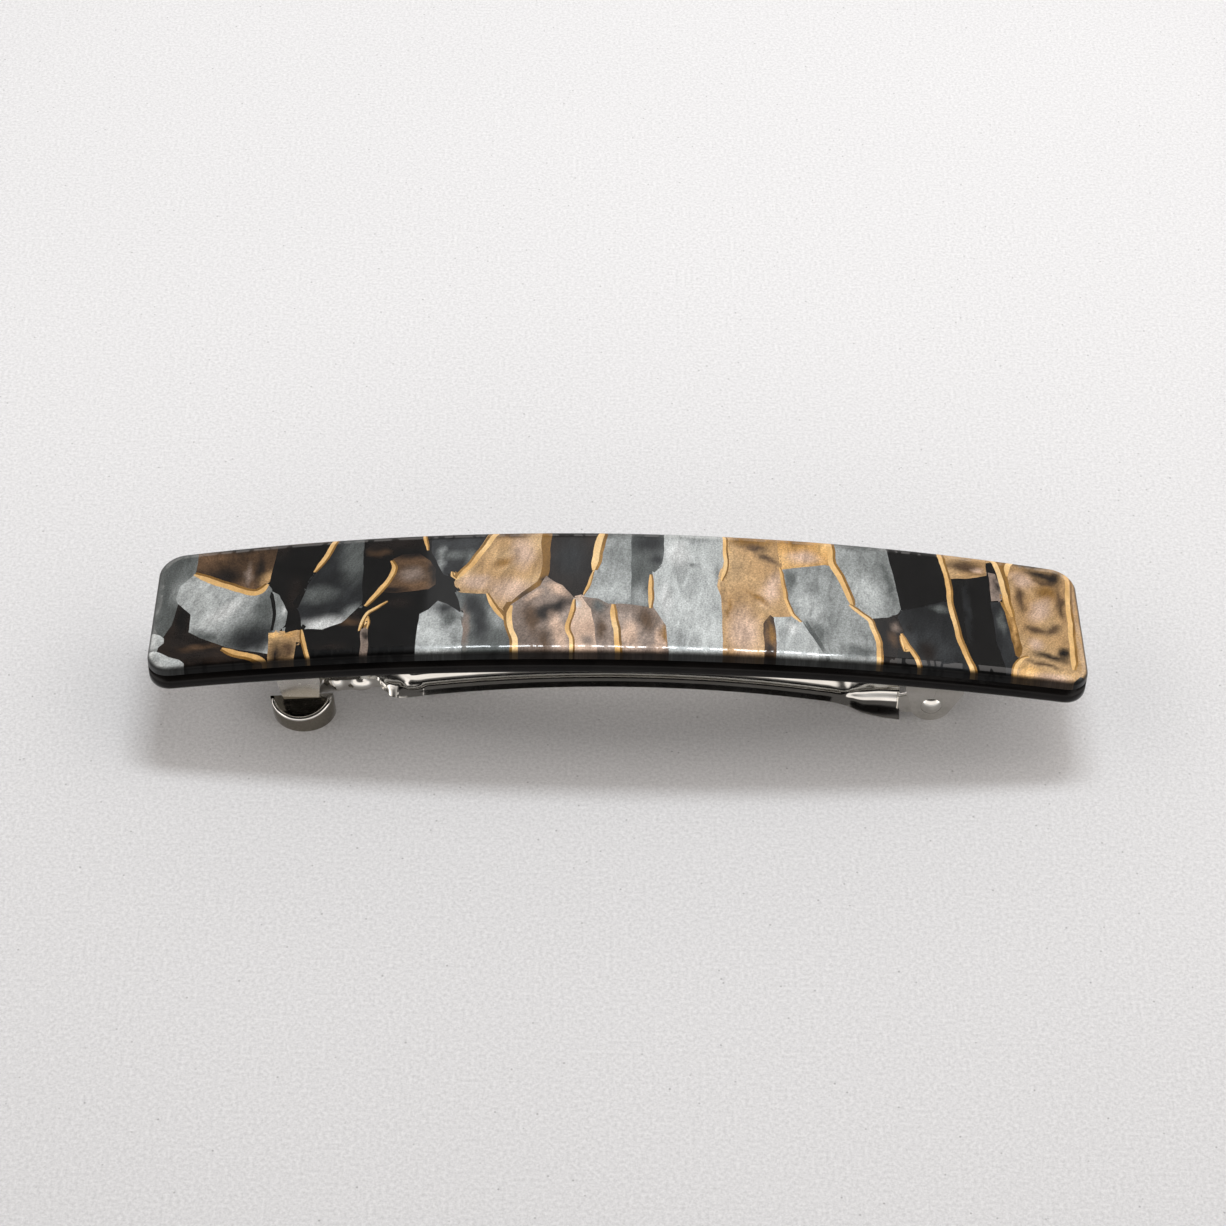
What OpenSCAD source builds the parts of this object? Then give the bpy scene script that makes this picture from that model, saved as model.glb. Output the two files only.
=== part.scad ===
// Barrette: an arched, laminated plate carried by a sprung metal hair clip.
// It stands as it lies on a table: the clip's feet are on z = 0, the plate is on top,
// X runs along the plate with the hinge at +X and the latch at -X.

/* [Plate] */
// Length of the plate over its two ends
plate_l = 102; // [94:0.5:120]
// Width of the plate at its middle
plate_w = 19; // [17:0.5:26]
// How much narrower each end is than the middle
plate_narrow = 1; // [0:0.1:2]
// Radius of the plate's four corners
corner_r = 2.8; // [1:0.1:5]
// Thickness of the patterned top sheet
pattern_t = 1.25; // [0.8:0.05:2]
// Thickness of the plain sheet under it
backing_t = 2.5; // [2.2:0.1:4]
// Radius of the plate's arch, measured on its top
arch_r = 297; // [280:1:320]
// Height of the plate's top above the table, at the middle
top_z = 15.15; // [15:0.05:16]

/* [Clip base] */
// Half the length of the metal base strip
base_half_l = 39.4; // [38.5:0.1:41]
// Half the width of the base strip, over the hinge ears
base_half_w = 4.35; // [4.3:0.05:4.4]
// Thickness of the clip's sheet metal
metal_t = 0.5; // [0.4:0.05:0.5]
// Distance of each mounting pin from the middle
pin_x = 29.5; // [29:0.1:30]

/* [Latch] */
// Middle of the latch along the plate
latch_x = -35.4; // [-35.6:0.1:-35.2]
// Lean of the latch leaves, which follow the arch
latch_lean = 5; // [4:0.5:6]
// Height of a leaf from the plate to its finger tab
leaf_h = 7.2; // [7:0.05:7.3]
// Radius of a finger tab
tab_r = 3.5; // [3:0.1:3.8]
// Slope of a finger tab, in degrees
tab_slope = 14; // [10:1:16]

/* [Clasp arm] */
// Radius of the arm's arch, along the lower edges of its flanges
arm_r = 138; // [130:1:150]
// Place of the arch's highest point along the plate
arm_top_x = 1.2; // [0:0.1:2]
// Height of the flanges' lower edges above the table, at the arch's highest point
arm_low_z = 2.6; // [2.5:0.05:2.7]
// Half the width of the arm's channel
arm_half_w = 2.8; // [2.6:0.05:2.9]
// Height of the channel over its flanges
arm_h = 1.2; // [1.1:0.05:1.25]
// Width and height of the sloped edges along both sides of the channel
arm_slope = 0.85; // [0.6:0.05:0.9]
// Half the width of the shallow groove along the arm
groove_half_w = 1.1; // [0.8:0.1:1.4]

/* [Hinge] */
// Place of the hinge pin along the plate
hinge_x = 34.8; // [34.6:0.1:35]
// Height of the hinge pin above the table
hinge_z = 2.25; // [2.2:0.05:2.3]
// Radius of the hinge pin
hinge_pin_r = 0.65; // [0.5:0.05:0.8]
// Radius of the domed heads of the hinge pin
hinge_head_r = 1.15; // [1:0.05:1.3]
// Play between a pin and the holes it turns in
play = 0.05; // [0.03:0.01:0.08]

/* [Tension bar] */
// Half the width of the tension bar
bar_half_w = 2; // [1.5:0.1:2.1]
// Thickness of the tension bar
bar_t = 0.35; // [0.3:0.05:0.4]
// Place of the bar's fixed end
bar_root_x = 27; // [26.5:0.1:27.5]
// Place of the bar's free end
bar_free_x = -25; // [-25:0.5:-20]
// Radius of the bar's downward bow
bar_bow_r = 700; // [600:10:900]

/* [Hidden] */
$fn = 96;
// Bottom of the backing sheet, which the base strip lies against
under_r = arch_r - pattern_t - backing_t;
arch_z = top_z - arch_r;
plate_half_l = plate_l / 2;
corner_steps = 8;
side_steps = 12;
// Arm: centre and radii of its arch, and the heights worked out from them
arm_mid_z = arm_low_z - arm_r;
arm_top_r = arm_r + arm_h;
groove_r = 3;
head_joint_x = -24;
head_end_x = -33.3;
head_half_w = 3.4;
cheek_t = 0.45;
shoulder_x = 24.8;
shoulder_end_x = 31.4;
shoulder_half_w = 4.7;
shoulder_top_z = 3.3;
// Inner ears of the arm, outer ears of the base
arm_ear_y = 3.7;
ear_y = base_half_w;
ear_foot_r = hinge_z;
// Latch: root of the leaf, and the inner catch
root_r = 0.4;
root_z = -0.55;
root_y = 4.43;
leaf_y = 4.85;
leaf_top_half = 2.35;
leaf_low_half = 2;
// Centre of the tab's round edge, inboard of the fold
tab_inset = 0.3;
catch_y = 2.75;
catch_t = 0.45;
// Mounting pins
stud_r = 0.6;
stud_head_r = 1.2;
stud_head_t = 0.35;
stud_depth = 1.6;
// Tension bar: its trunnion, and the height of its free end
trunnion_r = 0.4;
lug_y = 2.75;
bar_root_z = 9.1;
bar_free_z = 8.3;

// ---- helpers ----

// Height of a circle of radius r about (0, z0), above x
function arc_z(x, r, z0) = z0 + sqrt(r * r - x * x);
// Underside of the base strip above x
function strip_z(x) = arc_z(x, under_r - metal_t, arch_z);
// Lower edge and top of the arm's channel above x
function arm_edge_z(x) = arc_z(x - arm_top_x, arm_r, arm_mid_z);
function arm_face_z(x) = arc_z(x - arm_top_x, arm_top_r, arm_mid_z);
// Half the plate's width above x: widest in the middle, on a long flat curve
function half_w(x) = plate_w / 2 - plate_narrow / 2 * pow(x / plate_half_l, 2);

// Extrudes an outline drawn in X and Z from y0 to y1
module side(y0, y1) {
    translate([0, y1, 0]) rotate([90, 0, 0]) linear_extrude(y1 - y0) children();
}

// Sweeps a section drawn in radius and Y along an arc about (x0, z0), between two values of x
module arc_sweep(x0, z0, r, x_from, x_to) {
    a_from = acos((x_to - x0) / r);
    a_to = acos((x_from - x0) / r);
    translate([x0, 0, z0]) rotate([90, 0, 0]) rotate([0, 0, a_from])
        rotate_extrude(angle = a_to - a_from, $fn = 360) children();
}

// The space between two radii of the plate's arch
module arch_shell(r_low, r_high) {
    difference() {
        side(-plate_w, plate_w) translate([0, arch_z]) circle(r_high, $fn = 360);
        side(-plate_w - 1, plate_w + 1) translate([0, arch_z]) circle(r_low, $fn = 360);
    }
}

// Puts its children on the underside of the plate, square to the arch
module on_arch(x) {
    translate([0, 0, arch_z]) rotate([0, asin(x / under_r), 0]) translate([0, 0, under_r]) children();
}

// Puts its children in the latch's own frame: origin on the plate's underside
module at_latch() {
    translate([latch_x, 0, arc_z(latch_x, under_r, arch_z)]) rotate([0, -latch_lean, 0]) children();
}

// ---- plate ----

// One quarter of the plate's outline: the long side, then the corner
function quarter() =
    let (end_x = plate_half_l - corner_r, end_w = half_w(end_x))
    concat(
        [for (i = [0 : side_steps - 1]) [end_x * i / side_steps, half_w(end_x * i / side_steps)]],
        [for (i = [0 : corner_steps]) let (a = 90 - 90 * i / corner_steps)
            [end_x + corner_r * cos(a), end_w - corner_r + corner_r * sin(a)]]);

module plate_outline() {
    q = quarter();
    n = len(q);
    polygon(concat(
        q,
        [for (i = [n - 1 : -1 : 0]) [q[i][0], -q[i][1]]],
        [for (i = [1 : n - 1]) [-q[i][0], -q[i][1]]],
        [for (i = [n - 1 : -1 : 1]) [-q[i][0], q[i][1]]]));
}

module plate_layer(r_low, r_high) {
    intersection() {
        linear_extrude(top_z + 1) plate_outline();
        arch_shell(r_low, r_high);
    }
}

module pattern_sheet() {
    color("rosybrown") plate_layer(arch_r - pattern_t, arch_r);
}

module backing_sheet() {
    color("#161412") difference() {
        plate_layer(under_r, arch_r - pattern_t);
        for (s = [-1, 1]) on_arch(s * pin_x) cylinder(r = stud_r, h = stud_depth);
    }
}

// ---- clip base ----

module strip() {
    arc_sweep(0, arch_z, under_r, -base_half_l, base_half_l)
        translate([under_r - metal_t, -base_half_w]) square([metal_t, 2 * base_half_w]);
}

// Room in the strip's edges for the roots of the latch leaves
module leaf_notches() {
    for (s = [-1, 1]) at_latch()
        translate([-leaf_top_half - 0.3, s > 0 ? root_y - root_r - 0.1 : -base_half_w - 1, -2])
            cube([2 * leaf_top_half + 0.6, base_half_w + 1 - root_y + root_r + 0.1, 3]);
}

// Outline of a hinge ear: a round foot about the pin, widening up to the strip
module ear_outline() {
    translate([hinge_x, hinge_z]) circle(ear_foot_r);
    polygon([[hinge_x - 4.2, 10], [hinge_x - 3.2, 6], [hinge_x - 2.9, 4.3], [hinge_x - 2.1, hinge_z - 0.8],
             [hinge_x + 2.05, hinge_z - 0.9], [hinge_x + 3.4, 4], [hinge_x + 4.3, 10]]);
}

module hinge_ears() {
    intersection() {
        difference() {
            union() for (s = [-1, 1])
                side(s > 0 ? ear_y - metal_t : -ear_y, s > 0 ? ear_y : metal_t - ear_y) ear_outline();
            side(-ear_y - 1, ear_y + 1) translate([hinge_x, hinge_z]) circle(hinge_pin_r + play);
        }
        side(-ear_y - 1, ear_y + 1) translate([0, arch_z]) circle(under_r - metal_t / 2, $fn = 360);
    }
}

// Two lugs that carry the fixed end of the tension bar
module bar_lugs() {
    for (s = [-1, 1]) side(s > 0 ? lug_y - metal_t : -lug_y, s > 0 ? lug_y : metal_t - lug_y)
        difference() {
            union() {
                translate([bar_root_x, bar_root_z]) circle(1);
                translate([bar_root_x - 1, bar_root_z]) square([2, strip_z(bar_root_x + 1) - bar_root_z + 0.2]);
            }
            translate([bar_root_x, bar_root_z]) circle(trunnion_r + play);
        }
}

module base_plate() {
    color("silver") {
        difference() {
            strip();
            leaf_notches();
            for (s = [-1, 1]) on_arch(s * pin_x) translate([0, 0, -2]) cylinder(r = stud_r, h = 3);
        }
        hinge_ears();
        bar_lugs();
    }
}

module mounting_pins() {
    color("lightgray") for (s = [-1, 1]) on_arch(s * pin_x) {
        translate([0, 0, -metal_t]) cylinder(r = stud_r, h = metal_t + stud_depth);
        translate([0, 0, -metal_t - stud_head_t]) cylinder(r = stud_head_r, h = stud_head_t);
    }
}

// ---- latch ----

// The space under a plane that falls away from the leaf's fold at the tab's slope
module under_slope(z) {
    rotate([tab_slope, 0, 0]) translate([-15, -15, z - 20]) cube([30, 30, 20]);
}

// Finger tab, from the fold at the leaf's foot: a sloped half-disc with a turned-down rim
module finger_tab() {
    difference() {
        intersection() {
            translate([0, tab_inset, -5]) cylinder(r = tab_r, h = 8);
            translate([-10, -20, -10]) cube([20, 20, 20]);
            under_slope(metal_t);
        }
        intersection() {
            translate([0, tab_inset, -6]) cylinder(r = tab_r - metal_t, h = 9);
            under_slope(0);
        }
    }
}

// A latch leaf on the -Y side: root, leaf, inner catch and finger tab
module leaf_shape() {
    translate([-leaf_top_half, -root_y, root_z]) rotate([0, 90, 0]) cylinder(r = root_r, h = 2 * leaf_top_half);
    side(-leaf_y, metal_t - leaf_y)
        polygon([[-leaf_top_half, root_z], [-leaf_top_half, -4.2], [-leaf_low_half, metal_t - leaf_h],
                 [-leaf_low_half, -leaf_h], [leaf_low_half, -leaf_h], [leaf_low_half, metal_t - leaf_h],
                 [leaf_top_half, -4.2], [leaf_top_half, root_z]]);
    translate([0, metal_t - leaf_y, -leaf_h]) finger_tab();
    translate([-1.6, -leaf_y + metal_t / 2, -4.6]) cube([3.5, leaf_y - catch_y + catch_t - metal_t / 2, catch_t]);
    translate([-1.6, -catch_y, -5.9]) cube([8.1, catch_t, 5.9 - 4.6 + catch_t]);
    translate([0, -catch_y, -5.9]) linear_extrude(1.2) polygon([[3.6, 0], [5.4, -0.1], [6.2, -0.1], [6.4, 0]]);
}

module leaf() {
    intersection() {
        at_latch() leaf_shape();
        translate([-60, -20, 0]) cube([60, 40, 20]);
    }
}

module latch_leaf_front() {
    color("gainsboro") leaf();
}

module latch_leaf_back() {
    color("gainsboro") mirror([0, 1, 0]) leaf();
}

// ---- clasp arm ----

// Outline of the channel in radius and Y, moved in by an inset and then open below
module channel_outline(inset) {
    w = arm_half_w - inset;
    top = arm_top_r - inset;
    slope = arm_slope - 0.59 * inset;
    low = inset > 0 ? arm_r - 1 : arm_r;
    polygon([[low, -w], [top - slope, -w], [top, slope - w], [top, w - slope], [top - slope, w], [low, w]]);
}

// Section of the channel: a web pressed into a shallow groove, between two sloped edges
module channel_section() {
    groove_c = arm_top_r + sqrt(groove_r * groove_r - groove_half_w * groove_half_w);
    difference() {
        union() {
            difference() {
                channel_outline(0);
                channel_outline(metal_t);
            }
            intersection() {
                channel_outline(0);
                translate([groove_c, 0]) circle(groove_r + metal_t);
            }
        }
        translate([groove_c, 0]) circle(groove_r);
    }
}

// Latch end of the arm: a widened strip that steps up, with two cheeks
module arm_head() {
    x0 = head_joint_x;
    z0 = arm_face_z(x0 + 1.1);
    side(-head_half_w, head_half_w)
        polygon([[x0 + 1.1, z0 - 0.1], [x0 - 1.4, 2.7], [x0 - 2.2, 2.75], [head_end_x, 1.65],
                 [head_end_x, 1.65 - metal_t], [x0 - 2.2, 2.25], [x0 - 1.2, 2.2], [x0 + 1.1, z0 - 0.4]]);
    for (s = [-1, 1]) side(s > 0 ? head_half_w - cheek_t : -head_half_w, s > 0 ? head_half_w : cheek_t - head_half_w)
        polygon([[x0 - 1.8, 2.4], [x0 - 2.2, 4.4], [head_end_x + 1.2, 3.9], [head_end_x + 0.9, 1.4]]);
}

// A block that widens in plan from the channel to the ears, drawn from the side by its child
module shoulder_block(inset) {
    w0 = arm_half_w + 0.05 - inset;
    w1 = shoulder_half_w - inset;
    x0 = shoulder_x - 1;
    x1 = shoulder_end_x + inset;
    intersection() {
        side(-shoulder_half_w - 1, shoulder_half_w + 1) children();
        translate([0, 0, -1]) linear_extrude(8)
            polygon([[x0, w0], [shoulder_x, w0], [x1, w1], [x1, -w1], [shoulder_x, -w0], [x0, -w0]]);
    }
}

// Side outline of the shoulder: it rises from the channel's face, over its lower edge
module shoulder_outline(inset) {
    x0 = shoulder_x - 0.6 - inset;
    x1 = shoulder_end_x + inset;
    low = inset > 0 ? -1 : 0;
    polygon([[x0, arm_edge_z(x0) + low - 0.05], [shoulder_x + 2, 0.35 + low], [x1, 0.08 + low],
             [x1, shoulder_top_z - inset], [shoulder_x + 3.6, 3.05 - inset],
             [shoulder_x + 1.4, arm_face_z(shoulder_x) + 0.5 - inset], [x0, arm_face_z(x0) + 0.05 - inset]]);
}

// Hinge end of the arm: a hollow shoulder that widens towards the ears
module arm_shoulder() {
    difference() {
        shoulder_block(0) shoulder_outline(0);
        shoulder_block(metal_t) shoulder_outline(metal_t);
    }
}

// Inner ears of the arm, which turn on the hinge pin
module arm_ears() {
    difference() {
        for (s = [-1, 1]) side(s > 0 ? arm_ear_y - metal_t : -arm_ear_y, s > 0 ? arm_ear_y : metal_t - arm_ear_y) {
            translate([hinge_x, hinge_z]) circle(1.8);
            polygon([[shoulder_end_x - 2.5, 0.6], [hinge_x, hinge_z - 1.7], [hinge_x, hinge_z + 1.75],
                     [shoulder_end_x, shoulder_top_z - 0.05], [shoulder_end_x - 2.5, 2.9]]);
        }
        side(-ear_y, ear_y) translate([hinge_x, hinge_z]) circle(hinge_pin_r + play);
    }
}

module clasp_arm() {
    color("darkgray") {
        arc_sweep(arm_top_x, arm_mid_z, arm_r, head_joint_x, shoulder_x) channel_section();
        arm_head();
        arm_shoulder();
        arm_ears();
    }
}

// ---- hinge pin ----

module hinge_pin() {
    color("white") translate([hinge_x, 0, hinge_z]) rotate([90, 0, 0]) {
        cylinder(r = hinge_pin_r, h = 2 * ear_y, center = true);
        for (s = [0, 1]) mirror([0, 0, s]) translate([0, 0, ear_y]) intersection() {
            cylinder(r = hinge_head_r, h = 0.5);
            translate([0, 0, 0.5 - 1.6]) sphere(1.6);
        }
    }
}

// ---- tension bar ----

module tension_bar() {
    run = bar_root_x - bar_free_x;
    fall = bar_root_z - bar_free_z;
    tilt = atan(fall / run);
    half_run = run / 2;
    color("lightsteelblue") {
        translate([(bar_root_x + bar_free_x) / 2, 0, (bar_root_z + bar_free_z) / 2]) rotate([0, -tilt, 0])
            mirror([0, 0, 1])
                arc_sweep(0, -sqrt(bar_bow_r * bar_bow_r - half_run * half_run), bar_bow_r, -half_run, half_run)
                    translate([bar_bow_r - bar_t / 2, -bar_half_w]) square([bar_t, 2 * bar_half_w]);
        translate([bar_root_x, 0, bar_root_z]) rotate([90, 0, 0])
            cylinder(r = trunnion_r, h = 2 * lug_y - 0.1, center = true);
    }
}

pattern_sheet();
backing_sheet();
base_plate();
latch_leaf_front();
latch_leaf_back();
clasp_arm();
hinge_pin();
tension_bar();
mounting_pins();
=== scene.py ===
"""Looks of the barrette: a laminated plate of pearly acetate chips on a polished metal hair clip.

Lengths are written in millimetres and turned into metres when a mesh is made.
X runs along the plate with the hinge at +X, the viewer is at -Y, and the clip's feet are on z = 0.
"""
import math

import bmesh
import bpy
from mathutils import Matrix, Vector, noise
from mathutils.geometry import delaunay_2d_cdt


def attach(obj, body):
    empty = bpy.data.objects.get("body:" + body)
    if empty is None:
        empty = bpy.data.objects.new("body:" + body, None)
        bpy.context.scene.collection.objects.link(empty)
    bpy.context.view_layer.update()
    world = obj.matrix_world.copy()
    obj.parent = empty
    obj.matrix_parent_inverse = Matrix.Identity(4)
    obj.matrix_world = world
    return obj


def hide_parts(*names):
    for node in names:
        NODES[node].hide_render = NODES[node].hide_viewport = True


MM = 0.001
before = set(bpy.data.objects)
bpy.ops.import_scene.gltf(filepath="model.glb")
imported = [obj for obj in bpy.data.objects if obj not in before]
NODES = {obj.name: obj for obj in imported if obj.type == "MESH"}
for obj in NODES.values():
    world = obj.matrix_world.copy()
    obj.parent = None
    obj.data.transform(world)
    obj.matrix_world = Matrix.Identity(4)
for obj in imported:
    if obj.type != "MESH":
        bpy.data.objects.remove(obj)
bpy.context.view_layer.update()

# ---- sizes, as in the CAD source ----
HALF_L, HALF_W, NARROW, CORNER_R = 51.0, 9.5, 0.5, 2.8
ARCH_R, FACE_R, UNDER_R, ARCH_Z = 297.0, 295.75, 293.25, -281.85
# The plate's polished upper edge: a gentle arc that leans this far, then a tight one down to the side
CROWN_R, CROWN_LEAN, CORNER_ARC = 2.2, math.radians(20), 0.6
CORNER_IN = CORNER_ARC * (1 - math.sin(CROWN_LEAN))
EDGE_IN = CORNER_IN + CROWN_R * math.sin(CROWN_LEAN)
LOW_ROUND = 0.9
SEED = Vector((3.1, 7.7, 1.3))


# ---- small helpers ----
def srgb(code):
    """Linear RGBA of a #rrggbb colour."""
    parts = [int(code[i:i + 2], 16) / 255 for i in (1, 3, 5)]
    return [c / 12.92 if c <= 0.04045 else ((c + 0.055) / 1.055) ** 2.4 for c in parts] + [1.0]


def blend(a, b, t):
    """A mix of two colours, from a at 0 to b at 1."""
    return [x + (y - x) * t for x, y in zip(a, b)]


def step(x, low, high):
    """Smooth step from 0 at low to 1 at high."""
    t = min(1.0, max(0.0, (x - low) / (high - low)))
    return t * t * (3 - 2 * t)


def wave(x, y, scale, salt=0.0):
    """Smooth noise between about -1 and 1 over a plane; scale is in mm."""
    return noise.noise(Vector((x / scale, y / scale, salt)) + SEED)


def make_object(name, mesh, body, slot, *nodes):
    """A piece on a body, in the place of CAD nodes if any are named."""
    obj = bpy.data.objects.new(name, mesh)
    bpy.context.scene.collection.objects.link(obj)
    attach(obj, body)
    if nodes:
        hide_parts(*nodes)
    return obj


# ---- the plate's outline and arch ----
def half_width(x):
    """Half the plate's width at x; its long sides bow out a little."""
    return HALF_W - NARROW * (x / HALF_L) ** 2


def outline():
    """The plate's outline in plan, anticlockwise, as (point, outward normal)."""
    end_x = HALF_L - CORNER_R
    end_w = half_width(end_x)
    quarter = []
    steps = 60
    for i in range(steps):
        x = end_x * i / steps
        slope = -2 * NARROW * x / HALF_L ** 2
        quarter.append((Vector((x, half_width(x))), Vector((-slope, 1)).normalized()))
    for i in range(13):
        a = math.radians(90 - 7.5 * i)
        n = Vector((math.cos(a), math.sin(a)))
        quarter.append((Vector((end_x, end_w - CORNER_R)) + CORNER_R * n, n))
    side = 8
    y0 = end_w - CORNER_R
    quarter += [(Vector((HALF_L, y0 * (1 - i / side))), Vector((1, 0))) for i in range(1, side)]
    quarter.append((Vector((HALF_L, 0)), Vector((1, 0))))

    def flip(items, sx, sy):
        return [(Vector((p.x * sx, p.y * sy)), Vector((n.x * sx, n.y * sy))) for p, n in items]

    ring = quarter + flip(quarter[:-1], 1, -1)[::-1]
    ring += flip(quarter[1:], -1, -1) + flip(quarter[1:-1], -1, 1)[::-1]
    return ring[::-1]


RIM = outline()


def depth(x, y):
    """(distance inside the plate's outline, outward normal at the nearest point of it)."""
    sx, sy = (1 if x >= 0 else -1), (1 if y >= 0 else -1)
    ax, ay = abs(x), abs(y)
    end_x = HALF_L - CORNER_R
    end_w = half_width(end_x) - CORNER_R
    if ax > end_x and ay > end_w:
        v = Vector((ax - end_x, ay - end_w))
        n = v.normalized() if v.length > 1e-9 else Vector((1, 0))
        return CORNER_R - v.length, Vector((n.x * sx, n.y * sy))
    slope = -2 * NARROW * ax / HALF_L ** 2
    cos = 1 / math.sqrt(1 + slope * slope)
    to_side = (half_width(ax) - ay) * cos
    to_end = HALF_L - ax
    if to_side < to_end:
        return to_side, Vector((-slope * cos * sx, cos * sy))
    return to_end, Vector((sx, 0))


def on_arch(x, y, radius):
    """The point of the plate above (x, y) on the arch of that radius, in mm."""
    return Vector((x, y, ARCH_Z + math.sqrt(radius * radius - x * x)))


def arch_normal(x, out, share, radius):
    """Normal of the rounded edge: the arch's own normal leaned outwards; share is the sine of the lean."""
    up = Vector((x / radius, 0, math.sqrt(1 - (x / radius) ** 2)))
    side = Vector((out.x, out.y, 0))
    side = (side - up * side.dot(up)).normalized()
    return (up * math.sqrt(max(0.0, 1 - share * share)) + side * share).normalized()


def edge(d):
    """(drop, sine of the lean) of the plate's top at a distance inside its outline."""
    if d >= EDGE_IN:
        return 0.0, 0.0
    if d >= CORNER_IN:
        share = (EDGE_IN - d) / CROWN_R
        return CROWN_R * (1 - math.sqrt(1 - share * share)), share
    share = min(1.0, math.sin(CROWN_LEAN) + (CORNER_IN - d) / CORNER_ARC)
    crown_drop = CROWN_R * (1 - math.cos(CROWN_LEAN))
    return crown_drop + CORNER_ARC * (math.cos(CROWN_LEAN) - math.sqrt(1 - share * share)), share


def edge_depths():
    """Distances inside the outline at which the rounded edge has a row of points."""
    crown = [EDGE_IN - CROWN_R * math.sin(math.radians(a)) for a in (0, 4, 8, 12, 16, 20)]
    corner = [CORNER_IN - CORNER_ARC * (math.sin(math.radians(a)) - math.sin(CROWN_LEAN))
              for a in (32, 46, 60, 75, 90)]
    return crown + corner


# ---- the mosaic ----
# Each kind of chip: its colour, the colour of its lighter pearl, of its darker cloud,
# and how strong its streaks are
KINDS = {
    "slate": ("#575b5a", "#7d8281", "#353938", 0.9),
    "grey": ("#8a8e8d", "#abafae", "#686c6b", 0.9),
    "silver": ("#abafae", "#cfd3d2", "#8b8f8f", 0.9),
    "pale": ("#c9cbca", "#e8eaea", "#a2a5a5", 0.8),
    "coal": ("#232527", "#404345", "#101112", 0.9),
    "black": ("#060606", "#100f0e", "#030303", 0.4),
    "umber": ("#1a1411", "#33261c", "#0b0807", 0.9),
    "brown": ("#4d3a29", "#7f6249", "#241a13", 0.95),
    "taupe": ("#7f7066", "#ac9d92", "#4f433b", 0.95),
    "rose": ("#c2a691", "#dfcbb9", "#9a7d6b", 0.75),
    "bronze": ("#ae8d63", "#d2b48a", "#7d5d3a", 0.9),
    "amber": ("#c79c62", "#e8c590", "#8f6733", 0.9),
    "honey": ("#dcb275", "#f6dcab", "#b0803c", 0.35),
    "rust": ("#83602f", "#b38b4e", "#58401f", 0.6),
}

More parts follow.
